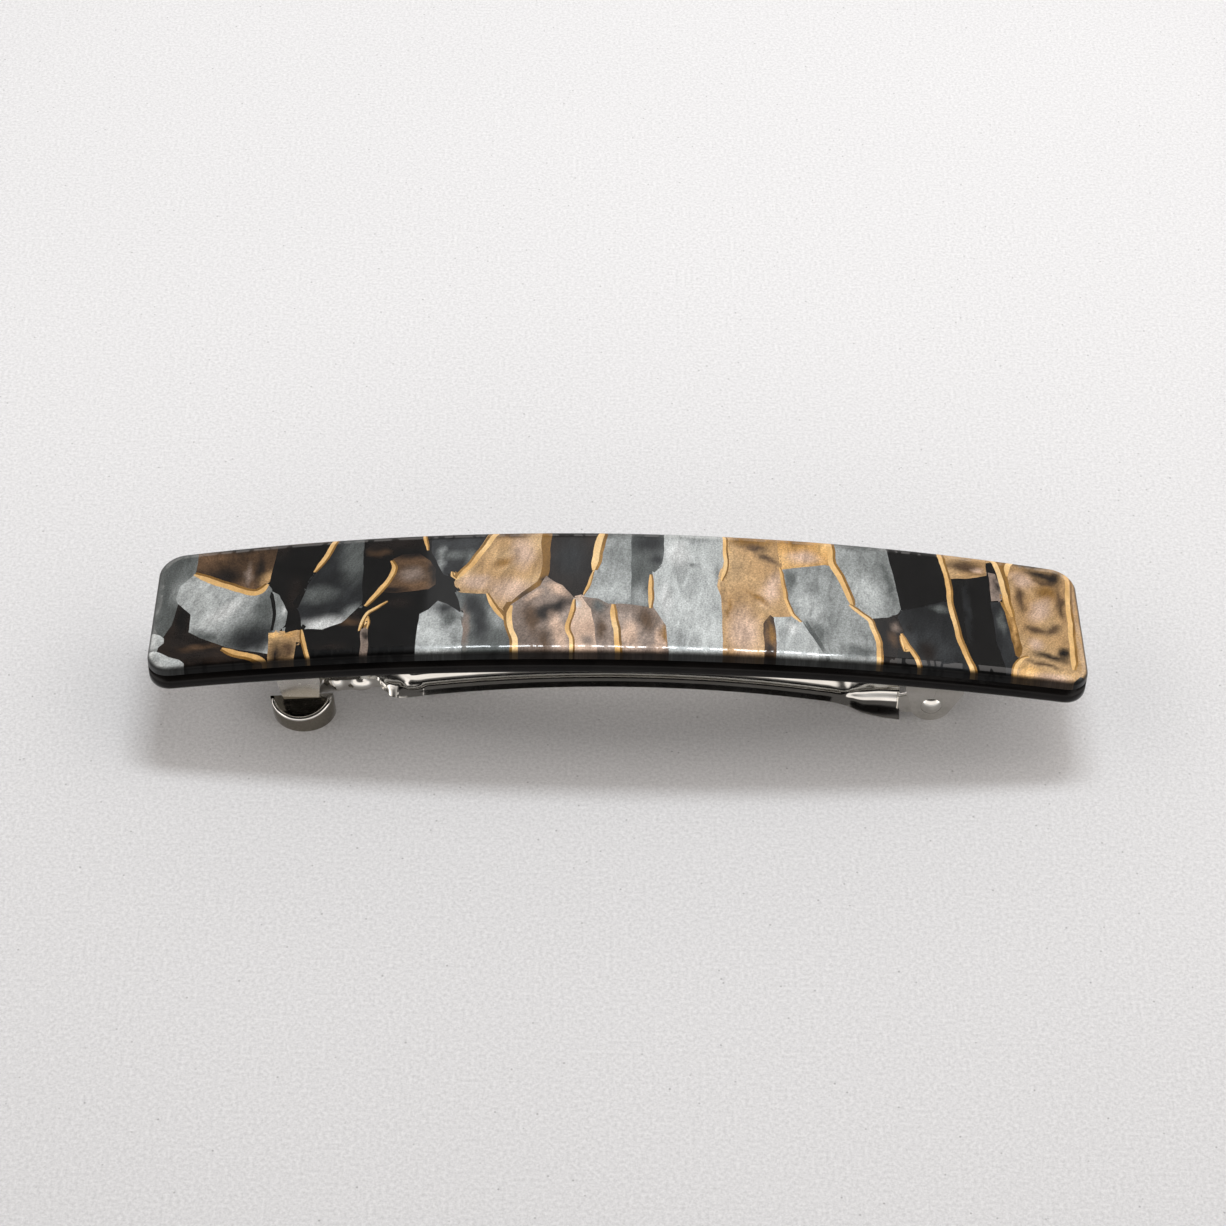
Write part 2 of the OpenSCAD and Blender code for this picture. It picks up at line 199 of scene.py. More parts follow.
# Chips of the pattern in painter's order: kind, direction of the grain in degrees, outline,
# and soft clouds of another kind inside it as (kind, x, y, radius along x, radius along y),
# with a turn in degrees after them where the cloud lies at a slant
CHIPS = [
    ("slate", 80, [(-52, 10), (-46.8, 10), (-46.8, 4.6), (-48.4, 3.5), (-48.6, 1.5), (-48.3, 0.8),
        (-48.6, -2.5), (-49.2, -5), (-52, -6)],
     [("grey", -48, 2.5, 1.4, 2.2), ("coal", -48, 9.4, 3, 0.7)]),
    ("brown", -65, [(-46.8, 10), (-37.6, 10), (-37.9, 3.4), (-38.6, 2.8), (-40, 1.4), (-43.2, 3),
        (-46.8, 5.2)],
     [("umber", -43.4, 4.4, 2.6, 1.4), ("black", -41.5, 9, 5, 1.1), ("umber", -39.6, 5, 0.5, 3),
      ("bronze", -38.6, 3.2, 0.9, 1.6), ("taupe", -40.8, 4.2, 0.5, 2)]),
    ("black", 10, [(-37.8, 10), (-31.2, 10), (-34, 3), (-35.6, -0.6), (-34.9, -2), (-34.3, -5),
        (-36.1, -4.9), (-36.1, -2), (-37.2, 0.8), (-38.4, 2.4)],
     [("brown", -34.5, 9.3, 4.5, 0.6), ("umber", -37.2, 8.2, 1, 2), ("umber", -35.5, 1, 1, 3)]),
    ("silver", 75, [(-46.9, 5.2), (-48.4, 3.5), (-48.6, 1.5), (-47.4, -0.2), (-46.8, -1), (-46.7, -3.8),
        (-44.5, -5.3), (-42, -6.8), (-37.7, -8.4), (-37.5, -4.9), (-37.6, -2), (-38, 1.8), (-38.6, 2.8),
        (-40, 1.4), (-43.2, 3)],
     [("slate", -38.6, -1.2, 1.6, 4.6), ("slate", -40, -5, 5.6, 3.2, 38), ("coal", -39.4, -6, 3.2, 2.6, 30),
      ("slate", -44.6, -5, 2.4, 1, -30), ("pale", -43, -1.2, 3, 1.1, 40)]),
    ("grey", 84, [(-37.9, 1.4), (-37.2, 0.8), (-36.1, -2), (-36.2, -4), (-36.7, -4.9), (-37.6, -4.7),
        (-37.6, -2)],
     [("slate", -37.5, -3, 0.3, 3), ("pale", -36.4, -1.6, 0.3, 1)]),
    ("black", 84, [(-38.1, 1.5), (-37.8, 1), (-37.3, -2), (-37.4, -4.8), (-37.7, -4.8), (-37.65, -2),
        (-38.2, 0.6)], []),
    ("umber", -28, [(-48.3, 0.8), (-46.8, -1), (-46.7, -3.8), (-42.5, -6.8), (-37.7, -8.4), (-37.7, -11),
        (-47.2, -11), (-47, -9), (-47.8, -8.3), (-49.3, -7.3), (-50.2, -6.2), (-49.6, -4.8), (-48.6, -2.5)],
     [("brown", -45.4, -6.4, 2.4, 0.5), ("black", -47.6, -2, 0.7, 3), ("black", -43, -9.3, 4, 0.6)]),
    ("silver", 20, [(-52, -3.4), (-50.6, -3.4), (-49.8, -4), (-49.3, -4.6), (-49.3, -5.3), (-49.8, -5.8),
        (-50, -6.7), (-52, -6.8)],
     [("slate", -50.6, -6.4, 0.8, 0.6)]),
    ("silver", 20, [(-52, -6.3), (-50.3, -6.3), (-49.7, -6.6), (-48.5, -7.4), (-47.3, -8), (-46.8, -8.6),
        (-46.7, -11), (-52, -11)],
     [("grey", -50.4, -7.6, 0.9, 0.9)]),
    ("bronze", 10, [(-37.9, -5.1), (-36, -5.2), (-34.8, -4.9), (-34.7, -5.6), (-35, -11), (-37.6, -11)],
     [("honey", -37.2, -5.5, 0.7, 0.8), ("amber", -35.6, -5.4, 0.9, 0.5), ("umber", -36.9, -8.6, 0.9, 2.2),
      ("brown", -35.6, -8, 0.9, 2)]),
    ("coal", 62, [(-30.9, 10), (-28.1, 10), (-28, -1.5), (-29, -3.3), (-30, -4.3), (-32, -5.2),
        (-33.5, -4.9), (-34.3, -4), (-34.9, -1.5), (-34.2, 1.8), (-32, 6.9)],
     [("slate", -29.2, 6, 1.6, 4.4), ("pale", -31.6, -4.9, 3.4, 1.8), ("grey", -28.8, -3, 1.4, 1.4),
      ("slate", -33, 0.4, 2.6, 1.5)]),
    ("black", -20, [(-34.3, -5), (-33.5, -4.9), (-32, -5.2), (-30, -4.3), (-28.4, -2.2), (-27.4, -3),
        (-27.6, -5.5), (-27.7, -11), (-33.3, -11), (-34.1, -6.5)],
     [("brown", -29.2, -4.2, 1.4, 0.7), ("umber", -28.6, -3.2, 0.8, 1), ("umber", -31, -7.8, 2, 0.5)]),
    ("black", 70, [(-28.2, 10), (-21, 10), (-20.7, 6.2), (-19.2, 2.6), (-18.3, 2), (-17.8, 0),
        (-17.1, -3.2), (-18.7, -2.6), (-19.7, -2), (-21.4, -3.4), (-27.4, -3), (-28, -1.5)],
     [("umber", -24, 8, 3, 1.2), ("brown", -26.6, 6.6, 1.5, 0.6), ("umber", -26.8, 7.4, 1.2, 1),
      ("umber", -24, -1.6, 1.6, 0.9)]),
    ("brown", 20, [(-25, 5.4), (-24, 6.1), (-22, 6.1), (-20.8, 5), (-20.1, 3.5), (-20, 1.2), (-20.8, 0.4),
        (-24.5, 0), (-26, 0.3), (-25, 2.6)],
     [("umber", -25, 0.4, 2, 0.7), ("umber", -22.6, 6, 3, 0.9), ("umber", -20.2, 3, 0.6, 3),
      ("taupe", -22.8, 2.8, 1.6, 1.4)]),
    ("taupe", 90, [(-27.8, -5.4), (-27, -5.2), (-26.9, -11), (-27.8, -11)],
     [("umber", -27.4, -6.4, 0.5, 1)]),
    ("coal", 55, [(-21, 10), (-14, 10), (-15.2, 6), (-18.3, 2.9), (-19.2, 2.6), (-20.7, 6.2)],
     [("grey", -19.6, 5.2, 0.5, 2.2), ("slate", -18.2, 5.8, 1.6, 0.8), ("black", -18, 9, 4, 0.9),
      ("slate", -16.4, 5.2, 0.7, 1.6)]),
    ("bronze", 70, [(-13.9, 10), (-8.5, 10), (-8.5, 4), (-8.8, 1.5), (-10, 0), (-12.2, -2.3), (-12.4, -3.4),
        (-13, -2.8), (-14.4, -0.6), (-16, -0.6), (-17.3, -0.1), (-18, 1.2)],
     [("rose", -11.6, -0.2, 3, 2.2), ("rose", -15.8, 1.4, 2, 1.3), ("rose", -10.6, 6, 1.4, 3),
      ("brown", -12, 8.9, 2.4, 0.9), ("rust", -12.6, 4.4, 1.6, 0.7, 30)]),
    ("rust", 88, [(-8.6, 10), (-7.45, 10), (-7.6, 4), (-7.8, 2.2), (-8.3, 0.9), (-10, -0.6), (-11.6, -2.3),
        (-12.2, -3.8), (-12.7, -2.9), (-12.3, -1.9), (-11.8, -1.8), (-10.2, 0.1), (-9, 1.2), (-8.5, 2.6)],
     [("brown", -10.4, -0.8, 1.6, 1.4), ("umber", -8.2, 1.6, 0.5, 0.7)]),
    ("umber", 85, [(-7.5, 10), (-2.3, 10), (-3, 5.5), (-3, 3), (-3.8, 0.5), (-4.2, -0.9), (-4.9, -1.1),
        (-5.8, 0.2), (-6.5, 1), (-7.7, 2)],
     [("coal", -5.4, 5, 2.4, 4), ("black", -5, 9.2, 4, 0.8)]),
    ("grey", 84, [(-1.5, 10), (1.3, 10), (1.25, -2.2), (-1, -2.1), (-2.5, -1.3), (-3.8, -1), (-3.4, 0.6),
        (-2.6, 3), (-1.8, 6)],
     [("silver", -1, -0.4, 2.8, 1.8), ("slate", -0.6, 9, 2, 0.9)]),
    ("black", -40, [(-27, -2.3), (-21.4, -2.6), (-21.6, -3.2), (-21.8, -6), (-22, -11), (-27, -11)], []),
    ("silver", 78, [(-21.5, -3.3), (-20.7, -2.7), (-19.6, -1.5), (-18.7, -2), (-17.2, -3.3), (-16.7, -7),
        (-16.7, -11), (-22, -11), (-21.8, -6)],
     [("coal", -18.9, -2.7, 1.6, 1.5), ("slate", -18.4, -4.4, 1.3, 1.4), ("grey", -17.4, -7, 0.7, 3)]),
    ("slate", 70, [(-17.9, -0.3), (-14.4, -0.7), (-13.3, -3.5), (-12.4, -5.5), (-12, -9), (-12, -11),
        (-17, -11), (-16.8, -3.5)],
     [("coal", -15, -5.4, 1.1, 3.4), ("taupe", -16.7, -5.6, 0.5, 4), ("grey", -13.4, -4.2, 0.8, 2.2, 25),
      ("coal", -15.8, -2.4, 1.2, 3, 25)]),
    ("taupe", 60, [(-11.8, -2.3), (-10, -0.7), (-8.6, 0.6), (-8, 2.2), (-7, 1.2), (-6.2, 0.6), (-5, -1.3),
        (-5.4, -4), (-5.8, -5.5), (-5.5, -11), (-10.9, -11)],
     [("umber", -8, -3.8, 2.2, 1.3, 30), ("rose", -6.6, 0.1, 1.7, 0.9, -40),
      ("rose", -9.3, -0.9, 1.2, 0.6, 40), ("umber", -7, -2.7, 2.6, 0.9, 28),
      ("brown", -9.6, -4.6, 0.9, 3, 10), ("rose", -6.6, -6.4, 0.9, 3, 12), ("brown", -8.2, -8, 0.7, 2)]),
    ("rose", 80, [(-4.9, -1.5), (-3.8, -1.2), (-3.1, -3), (-2.7, -6), (-2.3, -11), (-5.2, -11), (-5.6, -6)],
     [("pale", -4.8, -2.2, 0.6, 0.7), ("taupe", -3.4, -8, 0.9, 1.2)]),
    ("taupe", 80, [(-4.1, -1.2), (-2.3, -1.4), (-1.3, -2.2), (-1, -3.6), (-0.9, -11), (-2.3, -11),
        (-2.7, -6), (-3.1, -3)],
     [("slate", -2.3, -2.6, 0.9, 1.4), ("brown", -2, -6, 0.7, 2)]),
    ("slate", 86, [(1.35, 10), (5.1, 10), (4.7, 4.4), (3.6, 3), (3.2, 1), (3.1, -2.5), (1.2, -2.2)],
     [("coal", 3.2, 7.6, 2.6, 1.9), ("grey", 2.2, -1, 1, 2), ("coal", 4.2, 5, 0.9, 1)]),
    ("taupe", 82, [(-0.4, -2.1), (3.7, -2.6), (4.3, -4), (5, -5.4), (5.2, -11), (-0.4, -11)],
     [("brown", 2.8, -4.6, 1.4, 2.4, 12), ("rose", 4.3, -7.6, 0.5, 2.4), ("rust", 4.9, -6.8, 0.4, 2),
      ("rose", 1, -7, 1, 2.4)]),
    ("silver", 86, [(5.2, 10), (11.4, 10), (11.3, 5), (10.6, 1), (11, -0.5), (11.1, -11), (5.3, -11),
        (5, -5.2), (3.7, -2), (3.8, 2.8), (4.8, 4.2)],
     [("slate", 7.9, 4.1, 0.5, 0.35), ("grey", 8.4, 8.4, 2.8, 0.5), ("grey", 10.8, 3.2, 0.5, 2),
      ("pale", 6.4, 6, 1.4, 2.4), ("pale", 5, -1.2, 0.8, 3)]),
    ("bronze", 80, [(11.45, 10), (17.5, 10), (17.6, 4.5), (18, 1), (18.6, -3), (17, -3.3), (16.4, -3.2),
        (15.6, -4.5), (15.5, -11), (11.1, -11), (11, -0.3), (10.7, 0.8), (11.4, 5)],
     [("rust", 14.4, 8.4, 2.8, 1.1), ("brown", 15, 7.4, 1.6, 0.7), ("rose", 16.6, 1, 1.2, 3, -14),
      ("rose", 13.4, -6, 2, 4), ("rust", 11.8, -2.6, 0.3, 2), ("honey", 11.7, 6.4, 0.4, 5),
      ("brown", 16.2, 5.8, 1.6, 0.6, -30), ("rust", 15.2, -0.6, 1.8, 0.4, -40)]),
    ("amber", 85, [(17.5, 10), (23.2, 10), (23.1, 6), (22.8, 5.3), (20.5, 4.8), (18, 4.3)],
     [("rose", 20.4, 6.4, 2, 1.2), ("rust", 19.4, 8.8, 1.8, 0.6), ("honey", 22.6, 8.4, 0.8, 1.4)]),
    ("grey", 80, [(18, 4.3), (22.8, 5.4), (23.6, 3), (24.9, -1), (27.3, -3), (27.8, -6), (28, -11),
        (21.4, -11), (20.8, -5.5), (19.8, -3.9), (18.8, -2.7)],
     [("slate", 18.6, 2.6, 0.9, 2.6, -8), ("silver", 20.6, -1.2, 1.6, 2.8, 20),
      ("slate", 26, -7.8, 2.4, 1.2), ("slate", 21.6, -5.4, 0.7, 2, 20)]),
    ("silver", 80, [(16.6, -3.4), (18.5, -3.2), (19.7, -4), (21.2, -7), (21.4, -11), (16.7, -11)],
     [("grey", 17.4, -6, 0.5, 2), ("pale", 18.6, -5, 0.6, 1)]),
    ("brown", 84, [(16.3, -3.1), (16.7, -3.5), (16.8, -5), (16.8, -11), (15.6, -11), (15.5, -6),
        (15.7, -4.2)],
     [("rust", 16.3, -6, 0.35, 2.4), ("umber", 16.1, -8.4, 0.5, 1)]),
    ("slate", 70, [(20, -3.9), (20.3, -3.8), (21.5, -6.4), (22.6, -9.2), (22.2, -9.4), (21.1, -7)],
     [("grey", 22, -8.4, 0.4, 0.9)]),
    ("grey", 82, [(23.9, 10), (29.4, 10), (30, 6), (30.4, 3), (30.7, -0.7), (30.2, -1.6), (27.9, -2.4),
        (25.4, -1), (24.8, 1.5)],
     [("slate", 26.4, 8.9, 4, 0.8), ("silver", 27, 1.4, 1.8, 4, 10), ("slate", 29.6, 3.6, 0.5, 4, 8)]),
    ("black", 80, [(29.5, 10), (35.6, 10), (35.9, 5), (36.2, 1.5), (34.5, 0.6), (32, -0.3), (30.8, -0.9),
        (30.3, 4)], []),
    ("umber", 88, [(27.7, -2.5), (29.2, -2.2), (30.7, -1.2), (31, -4), (30.2, -5), (29.6, -11), (27.7, -11)],
     [("taupe", 29.9, -3.6, 0.5, 0.8), ("brown", 29.6, -5.6, 0.4, 1.4), ("black", 28.6, -4.6, 0.5, 3)]),
    ("coal", 75, [(30.8, -1), (34, 0.3), (36.2, 1.3), (36.7, -4), (37.4, -7), (38.2, -11), (32.9, -11),
        (31, -4.8), (30.3, -1.8)],
     [("black", 31.4, -3.4, 0.6, 1.2), ("umber", 33.2, -7, 1.2, 2), ("slate", 35, 0, 1, 0.6)]),
    ("bronze", 15, [(35.8, 10), (41, 10), (40.8, 6.3), (38.5, 5.3), (36.4, 4.9)],
     [("brown", 38.4, 7.2, 2.6, 1.2), ("amber", 37, 9.4, 3, 0.4), ("rose", 39.8, 6.9, 0.9, 0.5)]),
    ("black", 88, [(36.7, 4.9), (38.5, 5.3), (40.8, 6.3), (41.1, 8.4), (42, 7), (41.8, 1.9), (42.4, -1),
        (43, -4), (42.2, -11), (38.7, -11), (37.3, -6), (36.8, -2)],
     [("coal", 38.2, 0, 0.4, 5), ("coal", 42, -2, 0.5, 4), ("umber", 41.6, 7.6, 0.5, 0.6)]),
    ("taupe", 75, [(41, 6.8), (41.8, 6.6), (42.1, 4), (41.8, 2.3), (41, 2.1)],
     [("umber", 41.8, 5, 0.4, 1.6)]),
    ("coal", 80, [(40.9, 1.9), (42, 2.1), (42.9, -1), (43.6, -4), (43.2, -6.2), (42.4, -8.5), (42, -11),
        (41, -4)],
     [("slate", 41.9, -1, 0.4, 2)]),
    ("rust", 84, [(42.3, 9), (43.2, 7.2), (43.4, 3.4), (43.5, 0), (43.9, -4.4), (43.6, -6.3), (43, -6),
        (42.6, -2), (42.3, 2), (42.2, 6)],
     [("amber", 43.1, -2, 0.3, 3)]),
    ("bronze", 58, [(42.9, 10), (52, 10), (52, -11), (42.5, -11), (42.6, -8), (43.9, -5.2), (43.4, 0),
        (43.3, 4)],
     [("umber", 46, 9, 3, 0.9), ("umber", 47, 7.4, 2.2, 0.8, -12), ("umber", 48.4, 7, 0.9, 1.7, -35),
      ("rose", 44.8, 6, 1.4, 1.6), ("brown", 44.3, 3.2, 0.6, 2.4), ("rust", 47.4, 4.4, 1.6, 1.4, 40),
      ("rose", 46.4, 1.6, 1.2, 2.4, -30), ("brown", 48.8, 3, 0.5, 3), ("brown", 45.6, -1.6, 1.4, 0.6, -30),
      ("rose", 45.4, -4, 1.1, 1, 20), ("brown", 47.4, -1.4, 1.5, 0.7, 50),
      ("umber", 47, -5.7, 2.2, 0.7, -16), ("black", 48.4, -4.8, 0.8, 1.2), ("honey", 44.4, -8.2, 1.6, 1),
      ("rose", 46.8, -8.9, 2.4, 0.9), ("brown", 46, -6.9, 2.4, 0.4, -12), ("brown", 47, 6.2, 1.4, 0.5, -20)]),
    ("coal", 60, [(50, -7.9), (52, -7.6), (52, -11), (49, -11), (49.1, -8.7)],
     [("slate", 49.8, -8.2, 0.5, 0.6)]),
]

# Golden veins between chips: width, centre line, and the side its darker edge is on (1 left, -1 right)
VEINS = [
    (1.0, [(-46.9, 5.3), (-45, 4.1), (-43.2, 3), (-41.5, 2), (-40.2, 1.4), (-39.3, 1.6), (-38.6, 2.7)], 1),
    (0.9, [(-42.9, -7), (-41.4, -7.7), (-39.8, -8.4), (-38.4, -9), (-37.7, -9.5)], -1),
    (0.7, [(-30.9, 10), (-31.4, 9), (-32.3, 6.6), (-33.5, 4)], 1),
    (0.5, [(-34.4, -4.9), (-34.1, -6.5), (-33.6, -8), (-33, -10.6)], -1),
    (0.7, [(-25.1, 5.2), (-24.7, 3.9), (-25.1, 2.4), (-26, 0.8), (-27, -0.9), (-27.6, -1.9)], 1),
    (0.45, [(-25.2, -1.3), (-26.4, -2.2), (-27.3, -3), (-27.8, -4.3), (-28, -5.7)], 1),
    (0.35, [(-27.2, -3.4), (-27.05, -4.4), (-27.1, -5.4)], 1),
    (0.5, [(-21.7, 10), (-21.5, 8.4), (-21.1, 6.6)], 1),
    (0.85, [(-13.2, 10), (-14.1, 8.2), (-15.4, 5.7), (-16.8, 3.5), (-18, 1.7)], -1),
    (0.5, [(-18.3, 3), (-18.3, 2.3), (-17.9, 1.8)], 1),
    (1.1, [(-1.7, 10), (-2, 8.4), (-2.4, 6), (-2.7, 3.1)], 1),
    (0.4, [(-2.9, 2.8), (-3.4, 0.8), (-3.9, -0.9)], 1),
    (0.7, [(-14.4, -0.6), (-13.8, -2.2), (-12.9, -3.7), (-12.2, -4.9)], 1),
    (0.9, [(-11.8, -2.4), (-12, -4), (-11.8, -6), (-11.3, -8), (-11.2, -11)], -1),
    (0.6, [(-4.9, -1.6), (-5.3, -4), (-5.6, -6), (-5.2, -8), (-5, -11)], 1),
    (0.8, [(-0.8, -2.2), (-0.6, -5), (-0.3, -7), (-0.2, -11)], 1),
    (0.65, [(3.4, 2.5), (3.4, 0), (3.4, -2.7)], 1),
    (0.55, [(11.6, 10), (11.7, 7), (11.6, 4), (11.2, 1.8)], 1),
    (0.9, [(23.4, 10), (23.5, 7.5), (23.5, 5.8), (24.1, 4), (24.8, 1.5), (25.4, -0.8)], 1),
    (0.5, [(17.7, 4.6), (18, 1), (18.4, -1.5), (18.8, -3), (19.6, -4)], 1),
    (0.7, [(25, -0.7), (26.2, -1.9), (27.2, -2.8), (27.6, -4.5), (27.9, -6.5), (27.9, -8.5), (27.6, -11)], 1),
    (0.6, [(30.5, -4.6), (31.2, -6.5), (32, -8.3), (32.6, -10.6)], 1),
    (0.35, [(30.3, -4.9), (30.5, -6), (30.7, -7.3)], -1),
    (0.75, [(35.5, 10), (36, 6.5), (36.3, 4), (36.3, 1.5), (36.5, -1), (36.9, -4), (37.6, -7),
        (38.7, -11)], 1),
    (0.9, [(41, 10), (42, 8.3), (42.4, 6), (42.6, 4), (42.9, 1.8), (43.2, 0)], 1),
    (0.9, [(44.6, 10), (43.3, 8.4), (43, 6.4)], -1),
    (0.6, [(42.5, -11), (42.7, -8.4), (43.7, -6.4), (44.4, -5.9)], 1),
    (0.85, [(50.1, 9.4), (49.9, 5), (49.7, 0), (49.5, -4), (49.3, -7.2)], 1),
]


def warp(p):
    """Moves a point of the pattern a little, so that no chip edge is straight."""
    x, y = p
    return Vector((x + 0.16 * wave(x, y, 2.3, 1) + 0.05 * wave(x, y, 0.7, 2),
                   y + 0.16 * wave(x, y, 2.3, 5) + 0.05 * wave(x, y, 0.7, 6)))


def subdivided(points, gap):
    """A closed outline with points at most about a gap apart."""
    out = []
    for a, b in zip(points, points[1:] + points[:1]):
        a, b = Vector(a), Vector(b)
        n = max(1, round((b - a).length / gap))
        out += [a.lerp(b, i / n) for i in range(n)]
    return out


def smooth_curve(points, parts_of):
    """A Catmull-Rom curve through the points; parts_of(a, b) is the number of parts between two of them."""
    p = [points[0] * 2 - points[1]] + points + [points[-1] * 2 - points[-2]]
    out = []
    for i in range(1, len(p) - 2):
        parts = parts_of(p[i], p[i + 1])
        for k in range(parts):
            t = k / parts
            out.append(0.5 * (2 * p[i] + (p[i + 1] - p[i - 1]) * t
                              + (2 * p[i - 1] - 5 * p[i] + 4 * p[i + 1] - p[i + 2]) * t * t
                              + (3 * p[i] - p[i - 1] - 3 * p[i + 1] + p[i + 2]) * t ** 3))
    return out + [p[-2]]


def ribbon(width, points, shift=0.0, share=1.0):
    """Outline of a strip along a curve, thinner towards its ends, moved sideways by shift widths."""
    gap = 0.35
    line = smooth_curve([Vector(p) for p in points], lambda a, b: max(1, round((b - a).length / gap)))
    left, right = [], []
    for i, p in enumerate(line):
        a, b = line[max(0, i - 1)], line[min(len(line) - 1, i + 1)]
        n = Vector((a.y - b.y, b.x - a.x)).normalized()
        t = i / (len(line) - 1)
        end = 0.35 + 0.65 * min(1.0, min(t, 1 - t) * (len(line) - 1) * gap / 1.2)
        half = width / 2 * share * end * (1 + 0.18 * wave(p.x, p.y, 1.6, 9))
        c = warp(p + n * shift * width)
        left.append(c + n * half)
        right.append(c - n * half)
    return left + right[::-1]


def inside(x, y, ring):
    """Whether a point is inside a closed outline."""
    hit = False
    j = len(ring) - 1
    for i, p in enumerate(ring):
        q = ring[j]
        if (p.y > y) != (q.y > y) and x < (q.x - p.x) * (y - p.y) / (q.y - p.y) + p.x:
            hit = not hit
        j = i
    return hit


def shapes():
    """All the pattern's shapes in painter's order: (outline, kind, grain direction, clouds, number)."""
    out = []
    for kind, angle, points, clouds in CHIPS:
        ring = [warp(p) for p in subdivided(points, 0.6)]
        out.append((ring, kind, angle, clouds, len(out)))
    for width, points, dark_side in VEINS:
        out.append((ribbon(width, points, 0.14 * dark_side, 0.86), "rust", 90, [], len(out)))
        out.append((ribbon(width, points, -0.1 * dark_side, 0.66), "honey", 90, [], len(out)))
    boxed = []
    for ring, kind, angle, clouds, number in out:
        xs, ys = [p.x for p in ring], [p.y for p in ring]
        boxed.append((ring, kind, angle, clouds, number, (min(xs), min(ys), max(xs), max(ys))))
    return boxed


SHAPES = shapes()
GROUND = ([], "black", 80, [], 999, None)


def shape_over(x, y):
    """The uppermost shape over a point, if any."""
    for s in reversed(SHAPES):
        b = s[5]
        if b[0] <= x <= b[2] and b[1] <= y <= b[3] and inside(x, y, s[0]):
            return s
    return None


def shape_at(x, y):
    """The shape seen at a point; a narrow gap between two shapes is filled with the chip beside it."""
    found = shape_over(x, y)
    if found:
        return found
    for turn in range(16):
        a, far = turn * math.pi / 8, 0.2 if turn < 8 else 0.36
        dx, dy = far * math.cos(a), far * math.sin(a)
        pair = [shape_over(x + dx, y + dy), shape_over(x - dx, y - dy)]
        if all(pair):
            return min(pair, key=lambda side: side[4] >= len(CHIPS))
    return GROUND


PALETTE = {k: ([srgb(c) for c in v[:3]], v[3]) for k, v in KINDS.items()}


def pearl(shape, x, y):
    """(colour, grain coordinates, streak strength) of the pattern at a point of one of its shapes."""
    _, kind, angle, clouds, number, _ = shape
    (base, light, dark), strength = PALETTE[kind]
    cloud = wave(x, y, 3.4, 20 + number)
    colour = blend(base, light if cloud > 0 else dark, min(1.0, abs(cloud) * 0.75))
    for other, cx, cy, rx, ry, *turn in clouds:
        wx = x - cx + 0.4 * wave(x, y, 1.3, 40)
        wy = y - cy + 0.4 * wave(x, y, 1.3, 50)
        c, s = math.cos(math.radians(sum(turn))), math.sin(math.radians(sum(turn)))
        d = math.hypot((wx * c + wy * s) / rx, (wy * c - wx * s) / ry)
        if d < 1.35:
            tone = PALETTE[other][0][0]
            colour = blend(colour, tone, 1 - step(d, 0.2, 1.35))
    a = math.radians(angle)
    along = x * math.cos(a) + y * math.sin(a)
    across = -x * math.sin(a) + y * math.cos(a)
    shift = (number * 7.31) % 23
    return colour, (along + shift, across - shift, number * 1.7), strength


